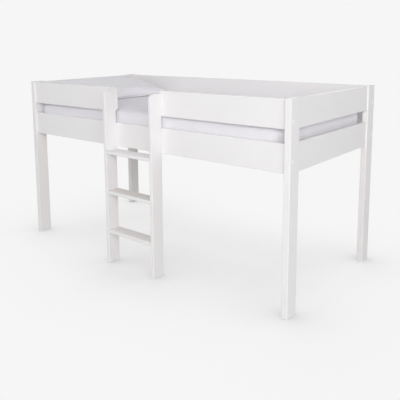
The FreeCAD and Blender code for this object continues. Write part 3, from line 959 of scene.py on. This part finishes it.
def corner_folds(spots, low, high):
    """Drag folds that fan out from each corner."""
    middle = (low + high)[:2] / 2
    bend, bends = FAN_WANDER
    folds = np.zeros(len(spots))
    for corner in itertools.product(*zip(low[:2], high[:2])):
        away = (spots[:, :2] - corner) * np.sign(middle - corner)
        distance = np.hypot(away[:, 0], away[:, 1])
        turn = np.arctan2(away[:, 1], np.maximum(away[:, 0], SMALL))
        near = np.exp(-((distance - FAN_MIDDLE) / FAN_WIDTH) ** 2)
        start = np.dot(corner, FAN_STARTS)
        folds += near * np.sin(turn * FAN_FOLDS + bend * np.sin(distance * bends) + start)
    return folds * FAN_DEPTH


def stray_waves(run, across, waves, stray, strays, slant=0):
    """Waves along a run that stray by an angle, and slant; the other numbers are radians per metre."""
    return np.sin(run * waves + stray * np.sin(across * strays) + across * slant)


GATHERS = (190, 2.1, 23)  # waves, stray and strays
GATHER_SWELL = (0.4, 37)  # share by which they grow and shrink, and radians per metre of that
GATHER_DEPTH = 0.5  # of the depth of folds in the settings
HEM_BAND = (0.02, 0.075)  # above the underside, where the gathers are full and fade out


def hem_gathers(run):
    """Small gathers along the elastic, at places along the run of a side."""
    swell, swells = GATHER_SWELL
    size = 1 - swell + swell * np.sin(run * swells)
    return stray_waves(run, run, *GATHERS) * size * GATHER_DEPTH


SLACK_ALONG = (9.0, 1.6, 5.1, 3.4)  # waves, stray, strays and slant
SLACK_ACROSS = (13.0, -1.2, 4.3, 2.2)
ACROSS_SHARE = 0.6  # of the waves across the bed, to those along it
SLACK_DEPTH = 0.28  # of the depth of folds in the settings


def slack_in_sheet(x, y):
    """Shallow waves of a sheet that isn't quite taut, at or below 0."""
    slack = stray_waves(x, y, *SLACK_ALONG) + ACROSS_SHARE * stray_waves(y, x, *SLACK_ACROSS)
    return (slack - 1 - ACROSS_SHARE) * SLACK_DEPTH


BELLY = 0.0035  # how far the sides swell towards the boards
BELLY_TOP = 1 / 1.1  # share of the height that swells
WALL_TILT = (0.3, 0.8)  # upward part of the normal, from side to top
SIDE_ROOM = (0.003, 0.004)  # how far the sheet may pass the solid along X and Y


def drape_sheet(spots, normals, low, high):
    """Pushes the folds, gathers and swell of the sheet out along its normals, within the mattress's room."""
    top = soft_ramp(spots[:, 2], *(high[2] - np.array(TOP_BAND)))
    wall = 1 - soft_ramp(np.abs(normals[:, 2]), *WALL_TILT)
    hem = 1 - soft_ramp(spots[:, 2], *(low[2] + np.array(HEM_BAND)))
    run = np.where(np.abs(normals[:, 0]) > np.abs(normals[:, 1]), spots[:, 1], spots[:, 0])
    folds = top * (corner_folds(spots, low, high) + slack_in_sheet(spots[:, 0], spots[:, 1]))
    folds += wall * hem * hem_gathers(run)
    rise = (spots[:, 2] - low[2]) / (high[2] - low[2])
    belly = BELLY * wall * np.sin(np.pi * np.clip(rise / BELLY_TOP, 0, 1))
    made = spots + normals * (folds * settings().bedding.fold + belly)[:, None]
    room = np.array((*SIDE_ROOM, 0))
    return np.clip(made, low - room, high + room)


def mattress_in_sheet():
    """Mattress with a fitted sheet pulled over it: swollen a little, with drag folds at its corners."""
    low, high = map(np.array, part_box("mattress"))
    piece = add_to_scene("mattress_in_sheet", NODES["mattress"].data.copy())
    even = piece.modifiers.new("even_faces", "REMESH")
    even.mode = "VOXEL"
    even.voxel_size = MATTRESS_CELL
    settle(piece)
    spots = spots_of(piece)
    run_cloth(
        piece, SHEET_FRAMES, quality=4, mass=0.4, tension_stiffness=20, compression_stiffness=20,
        shear_stiffness=10, bending_stiffness=1.0, use_pressure=True, uniform_pressure_force=2.0,
        shrink_min=-0.012,
    )
    moved = spots_of(piece) - spots
    length = np.linalg.norm(moved, axis=1, keepdims=True)
    spots += moved * np.minimum(1, SHEET_CAP / np.maximum(length, SMALL))
    spots = round_corners(spots, low, high)
    move_to(piece, spots)
    move_to(piece, drape_sheet(spots, spots_of(piece, "normal"), low, high))
    piece.data.shade_smooth()
    return piece


class MIDSLEEPER_OT_make_mattress(bpy.types.Operator):
    """Make the mattress in its fitted sheet"""

    bl_idname = "midsleeper.make_mattress"
    bl_label = "Make the mattress"

    def execute(self, context):
        piece = mattress_in_sheet()
        cotton = plain_cotton("sheet_cotton", settings().bedding.sheet)
        stand_for(piece, "mattress", "mattress", cotton)
        return {"FINISHED"}


PILLOW_CUT = (0.465, 0.782)  # of the flat case, along and across the bed
PILLOW_CELL = 0.010  # size of its faces
CASE_RISE = 0.03  # height of each panel before the case is filled
PILLOW_FILL = 0.029  # cubic metres
SEAM_RADIUS = 0.0016


def flat_case(name, rise):
    """Two sewn panels, held apart a little.

    Gives the piece, and the number of each of its points by (side, i, j), where the seam has side 0.
    """
    along, across = (round(side / PILLOW_CELL) for side in PILLOW_CUT)
    numbers, spots, faces = {}, [], []

    def number(side, i, j):
        key = (0 if i in (0, along) or j in (0, across) else side, i, j)
        if key not in numbers:
            u, v = 2 * i / along - 1, 2 * j / across - 1
            numbers[key] = len(spots)
            lift = key[0] * rise * math.sqrt((1 - u * u) * (1 - v * v))
            spots.append((u * PILLOW_CUT[0] / 2, v * PILLOW_CUT[1] / 2, lift))
        return numbers[key]

    for side in (1, -1):
        for j in range(across):
            for i in range(along):
                corners = [(i, j), (i + 1, j), (i + 1, j + 1), (i, j + 1)]
                faces.append([number(side, *corner) for corner in corners[::side]])
    mesh = bpy.data.meshes.new(name)
    mesh.from_pydata(spots, [], faces)
    return add_to_scene(name, mesh), numbers


def seam_loop(numbers):
    """Numbers of the points along the seam, in order."""
    along, across = (max(key[k] for key in numbers) for k in (1, 2))
    loop = [(i, 0) for i in range(along)] + [(along, j) for j in range(across)]
    loop += [(i, across) for i in range(along, 0, -1)] + [(0, j) for j in range(across, 0, -1)]
    return [numbers[0, i, j] for i, j in loop]


SEAM_DRAW = 0.008  # how far the seam pulls in between its corners
SQUARENESS = 0.8  # 0 leaves the outline of the simulation, 1 takes that bow alone


def square_up(spots, numbers):
    """Moves the seam out to a straighter outline, and what lies between its sides along with it."""
    along, across = (max(key[k] for key in numbers) for k in (1, 2))
    half = np.abs(spots).max(0)
    made = spots.copy()
    for key, point in numbers.items():
        for axis, count, other in ((0, along, across), (1, across, along)):
            run, row = key[1 + axis] / count, key[2 - axis]
            shifts = []
            for end, sign in ((0, -1), (count, 1)):
                at_end = numbers[(0, end, row) if axis == 0 else (0, row, end)]
                bowed = half[axis] - SEAM_DRAW * (1 - (2 * row / other - 1) ** 2)
                shifts.append(SQUARENESS * (sign * bowed - spots[at_end, axis]))
            made[point, axis] += shifts[0] * (1 - run) + shifts[1] * run
    return made


# Each pair is at the head boards and towards the feet
SEAM_HEIGHT = (0.088, 0.0115)  # above the mattress
UPPERSIDE = (0.68, 0.80)  # bulge of the upper panel, of the simulated one
UNDERSIDE = (1.5, 0.2)  # and of the lower one, which leaves a low gap under the edge towards the feet
REST_SOFTNESS = 0.003  # height over which the underside turns flat
REST_SINK = 0.00006  # takes up what is left of that height where the pillow rests


def prop_up(spots, length):
    """Leans a pillow that lies about its middle on the head boards, with its underside flat from height 0."""
    share = spots[:, 0] / length + 0.5
    seam, above, below = (
        head + (foot - head) * share for head, foot in (SEAM_HEIGHT, UPPERSIDE, UNDERSIDE)
    )
    height = seam + spots[:, 2] * np.where(spots[:, 2] < 0, below, above)
    made = spots.copy()
    made[:, 2] = np.maximum(REST_SOFTNESS * np.logaddexp(0, height / REST_SOFTNESS) - REST_SINK, 0)
    return made


def propped_pillow():
    """Pillow filled by simulation from its flat case, then squared and propped on the head boards."""
    look = settings().bedding
    low, high = map(np.array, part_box("pillow"))
    size = np.array((*(high - low)[:2], look.pillow_thickness))
    piece, numbers = flat_case("pillow_in_case", CASE_RISE)
    run_cloth(
        piece, look.pillow_frames, quality=6, mass=0.3, air_damping=5, tension_stiffness=15,
        compression_stiffness=15, shear_stiffness=5, bending_stiffness=0.5, use_pressure=True,
        uniform_pressure_force=0, use_pressure_volume=True, target_volume=PILLOW_FILL,
        pressure_factor=30, shrink_min=0.008,
    )
    spots = spots_of(piece)
    spots -= (spots.min(0) + spots.max(0)) / 2
    spots = square_up(spots * size / np.ptp(spots, axis=0), numbers)
    seat = np.array((*(low + high)[:2] / 2, low[2]))
    move_to(piece, prop_up(spots, size[0]) + seat)
    finer = piece.modifiers.new("finer", "SUBSURF")
    finer.levels = finer.render_levels = 1
    settle(piece)
    piece.data.shade_smooth()
    return piece, spots_of(piece)[seam_loop(numbers)]


def seam_cord(spots):
    """Rolled seam round the pillow, as a closed tube."""
    line = bpy.data.curves.new("pillow_seam", "CURVE")
    line.dimensions = "3D"
    line.bevel_depth = SEAM_RADIUS
    line.bevel_resolution = 2
    spline = line.splines.new("POLY")
    spline.points.add(len(spots) - 1)
    spline.points.foreach_set("co", np.c_[spots, np.ones(len(spots))].astype(np.float32).ravel())
    spline.use_cyclic_u = True
    curve = add_to_scene("pillow_seam", line)
    mesh = bpy.data.meshes.new_from_object(curve.evaluated_get(bpy.context.evaluated_depsgraph_get()))
    bpy.data.objects.remove(curve)
    mesh.shade_smooth()
    return add_to_scene("pillow_seam", mesh)


class MIDSLEEPER_OT_make_pillow(bpy.types.Operator):
    """Make the pillow in its case"""

    bl_idname = "midsleeper.make_pillow"
    bl_label = "Make the pillow"

    def execute(self, context):
        cotton = plain_cotton("case_cotton", settings().bedding.case)
        piece, seam = propped_pillow()
        stand_for(piece, "pillow", "pillow", cotton)
        cord = seam_cord(seam)
        cord.data.materials.append(cotton)
        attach(cord, "pillow")
        return {"FINISHED"}


# Stage

FLOOR_SIZE = 60.0
SHADOW_REACH = 0.82  # how far above the floor a board may be and still darken it
SHADOW_SAMPLES = 16
SENSOR_WIDTH = 36  # millimetres
LAMP_SIZE = 3.4
LAMP_TARGET = Vector((0.1, 0, 0.6))
LAMP_PLACES = {
    "key": (3.8, -6.1, 2.9),
    "side": (6.3, -3.6, 2.9),
    "high": (-4.1, -2.4, 6.3),
    "back": (-2.0, 7.3, 1.8),
}


def add_camera(look):
    """Camera from its place, its turns and where its axis meets the picture."""
    cos, sin = math.cos, math.sin
    ahead = Vector((-sin(look.yaw) * cos(look.pitch), cos(look.yaw) * cos(look.pitch), -sin(look.pitch)))
    level = Vector((cos(look.yaw), sin(look.yaw), 0))
    above = level.cross(ahead)
    right = level * cos(look.roll) + above * sin(look.roll)
    up = above * cos(look.roll) - level * sin(look.roll)
    data = bpy.data.cameras.new("camera")
    data.sensor_width = SENSOR_WIDTH
    data.lens = SENSOR_WIDTH * look.focal / PICTURE
    data.shift_x = 0.5 - look.middle_x / PICTURE
    data.shift_y = look.middle_y / PICTURE - 0.5
    camera = add_to_scene("camera", data)
    camera.matrix_world = Matrix((right, up, -ahead)).transposed().to_4x4()
    camera.location = look.eye
    bpy.context.scene.camera = camera


def add_lamp(name, power, place):
    """Square soft lamp that faces the bed."""
    data = bpy.data.lights.new(name, "AREA")
    data.energy = power
    data.size = LAMP_SIZE
    lamp = add_to_scene(name, data)
    lamp.location = place
    lamp.rotation_euler = (LAMP_TARGET - Vector(place)).to_track_quat("-Z", "Y").to_euler()


def add_world(look):
    """Even light from all round, behind a plain backdrop."""
    world = bpy.data.worlds.new("studio")
    world.use_nodes = True
    nodes = Nodes(world.node_tree)
    light = nodes.add("ShaderNodeBackground", {}, {"Strength": look.sky, "Color": (1, 1, 1, 1)})[0]
    shown = nodes.add("ShaderNodeBackground", {}, {"Strength": 1.0, "Color": rgba(look.backdrop)})[0]
    mixed = nodes.add("ShaderNodeMixShader", {}, {0: nodes.seen(), 1: light, 2: shown})["Shader"]
    nodes.add("ShaderNodeOutputWorld", {}, {"Surface": mixed})
    bpy.context.scene.world = world


def floor_finish(look):
    """Pale floor with the bed's soft shadow straight below it, which meets the backdrop without a line."""
    finish = Finish("studio_floor")
    covered = 1 - finish.add(
        "ShaderNodeAmbientOcclusion", {"samples": SHADOW_SAMPLES}, {"Distance": SHADOW_REACH}
    )["AO"]
    shaded = finish.blend(covered * look.shadow, rgba(look.backdrop), (0, 0, 0, 1))
    plain = finish.add("ShaderNodeEmission", {}, {"Color": shaded, "Strength": 1.0})["Emission"]
    bounce = finish.add("ShaderNodeBsdfDiffuse", {}, {"Color": rgba(look.bounce)})["BSDF"]
    mixed = finish.add("ShaderNodeMixShader", {}, {0: finish.seen(), 1: bounce, 2: plain})["Shader"]
    finish.add("ShaderNodeOutputMaterial", {}, {"Surface": mixed})
    return finish.material


class MIDSLEEPER_OT_set_stage(bpy.types.Operator):
    """Set up the camera, the lamps, the floor and the backdrop"""

    bl_idname = "midsleeper.set_stage"
    bl_label = "Set the stage"

    def execute(self, context):
        look = settings().stage
        context.scene.view_settings.view_transform = "Standard"
        add_camera(look)
        add_world(look)
        for name, place in LAMP_PLACES.items():
            add_lamp(name + "_lamp", getattr(look, name), place)
        mesh = bmesh.new()
        bmesh.ops.create_grid(mesh, x_segments=2, y_segments=2, size=FLOOR_SIZE / 2)
        floor = add_object("floor", mesh)
        floor.data.materials.append(floor_finish(look))
        return {"FINISHED"}


# Panel and start

OPERATORS = (
    MIDSLEEPER_OT_set_stage,
    MIDSLEEPER_OT_paint_boards,
    MIDSLEEPER_OT_finish_base,
    MIDSLEEPER_OT_make_fasteners,
    MIDSLEEPER_OT_make_mattress,
    MIDSLEEPER_OT_make_pillow,
)


class VIEW3D_PT_mid_sleeper(bpy.types.Panel):
    """Steps and settings of the bed"""

    bl_label = "Mid sleeper bed"
    bl_space_type = "VIEW_3D"
    bl_region_type = "UI"
    bl_category = "Mid sleeper"

    def draw(self, context):
        for group in ("paint", "pine", "bedding", "stage"):
            box = self.layout.box()
            part = getattr(context.scene.mid_sleeper, group)
            for name in part.__annotations__:
                box.prop(part, name)
        for step in OPERATORS:
            self.layout.operator(step.bl_idname)


GROUPS = (PaintSettings, PineSettings, BeddingSettings, StageSettings, BedSettings)
CLASSES = (*GROUPS, *OPERATORS, VIEW3D_PT_mid_sleeper)


def register():
    for each in CLASSES:
        bpy.utils.register_class(each)
    bpy.types.Scene.mid_sleeper = PointerProperty(type=BedSettings)


def unregister():
    del bpy.types.Scene.mid_sleeper
    for each in reversed(CLASSES):
        bpy.utils.unregister_class(each)


def main():
    register()
    bpy.ops.midsleeper.set_stage()
    bpy.ops.midsleeper.paint_boards()
    bpy.ops.midsleeper.finish_base()
    bpy.ops.midsleeper.make_fasteners()
    bpy.ops.midsleeper.make_mattress()
    bpy.ops.midsleeper.make_pillow()


if __name__ == "__main__":
    main()
